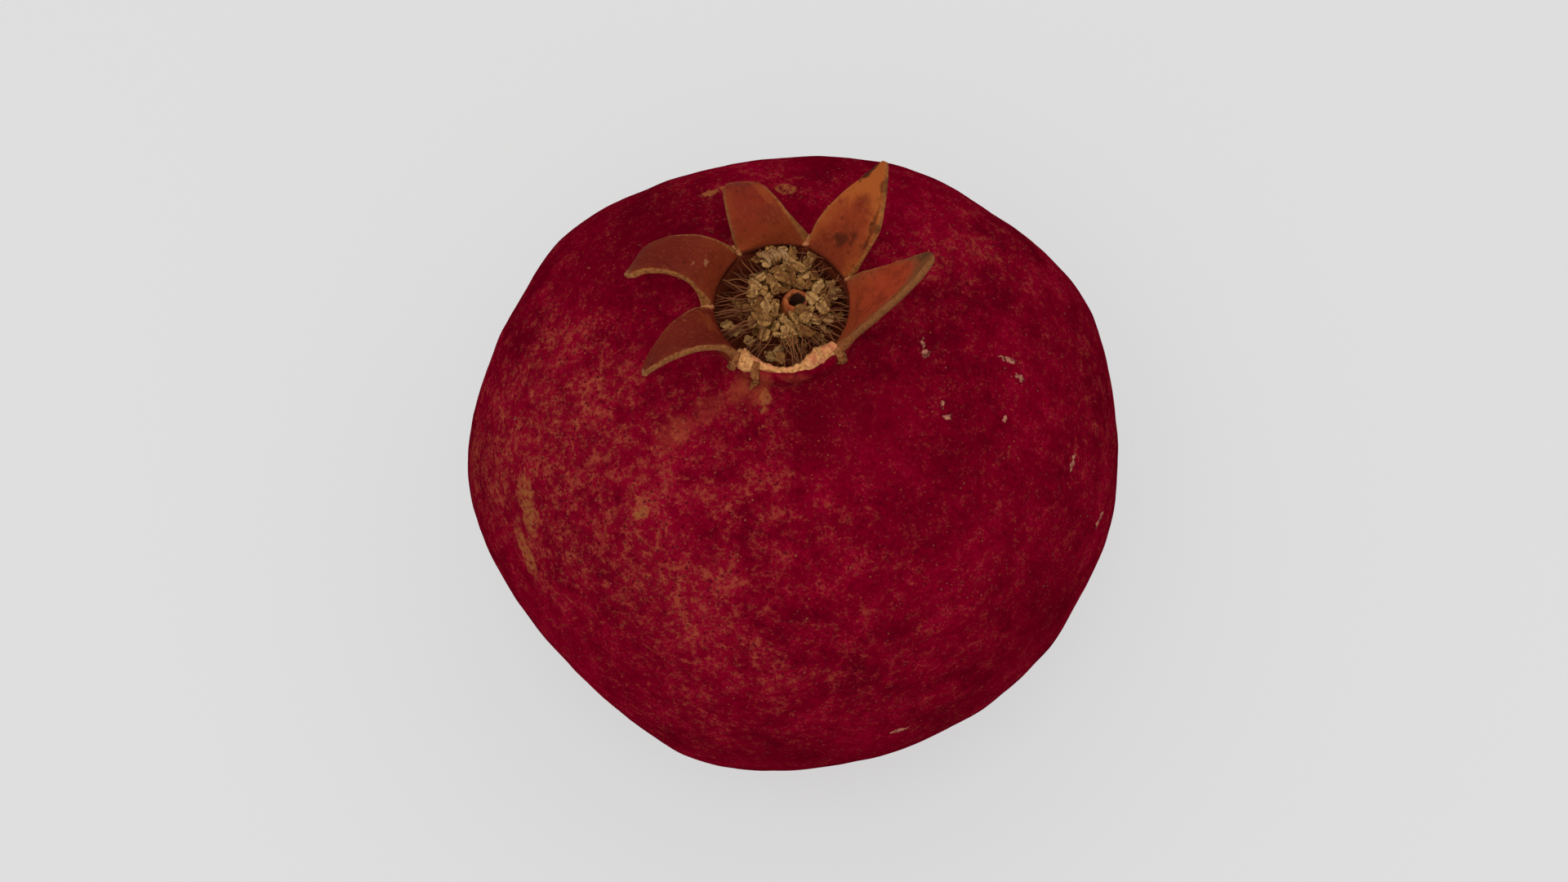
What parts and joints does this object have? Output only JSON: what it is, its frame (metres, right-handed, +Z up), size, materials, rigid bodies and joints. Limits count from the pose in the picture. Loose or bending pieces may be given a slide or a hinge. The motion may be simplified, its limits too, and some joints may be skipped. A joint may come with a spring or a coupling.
{
  "type": "whole pomegranate",
  "caption": "Ripe whole pomegranate standing on its stem end, its crown open upwards with curled sepals, a torn sepal, stamens and the style.",
  "frame": {"origin": "under the middle of the fruit's box, on the surface that it stands on", "axes": "+Z up through the crown, +Y to the back away from the torn sepal, +X to the right"},
  "size_m": [0.0902, 0.0906, 0.0962],
  "materials": {
    "rind": "matt, freckled red skin",
    "sepal": "dry, leathery orange-brown",
    "torn_sepal": "torn, pale and fibrous",
    "stamen": "dry and papery",
    "style": "dry and fleshy",
    "stem": "rough cut wood"
  },
  "bodies": {
    "root": {"fruit": "rind", "sepal_back": "sepal", "sepal_back_left": "sepal", "sepal_back_right": "sepal", "sepal_front_left": "sepal", "sepal_right": "sepal", "stamen_01": "stamen", "stamen_02": "stamen", "stamen_03": "stamen", "stamen_04": "stamen", "stamen_05": "stamen", "stamen_06": "stamen", "stamen_07": "stamen", "stamen_08": "stamen", "stamen_09": "stamen", "stamen_10": "stamen", "stamen_11": "stamen", "stamen_12": "stamen", "stamen_13": "stamen", "stamen_14": "stamen", "stamen_15": "stamen", "stamen_16": "stamen", "stamen_17": "stamen", "stamen_18": "stamen", "stamen_19": "stamen", "stamen_20": "stamen", "stamen_21": "stamen", "stamen_22": "stamen", "stamen_23": "stamen", "stamen_24": "stamen", "stamen_25": "stamen", "stamen_26": "stamen", "stamen_27": "stamen", "stamen_28": "stamen", "stamen_29": "stamen", "stamen_30": "stamen", "stamen_31": "stamen", "stamen_32": "stamen", "stamen_33": "stamen", "stamen_34": "stamen", "stamen_35": "stamen", "stamen_36": "stamen", "stamen_37": "stamen", "stamen_38": "stamen", "stamen_39": "stamen", "stamen_40": "stamen", "stamen_41": "stamen", "stamen_42": "stamen", "stamen_43": "stamen", "stamen_44": "stamen", "stem_stub": "stem", "style": "style", "torn_sepal_front": "torn_sepal"}
  },
  "joints": []
}
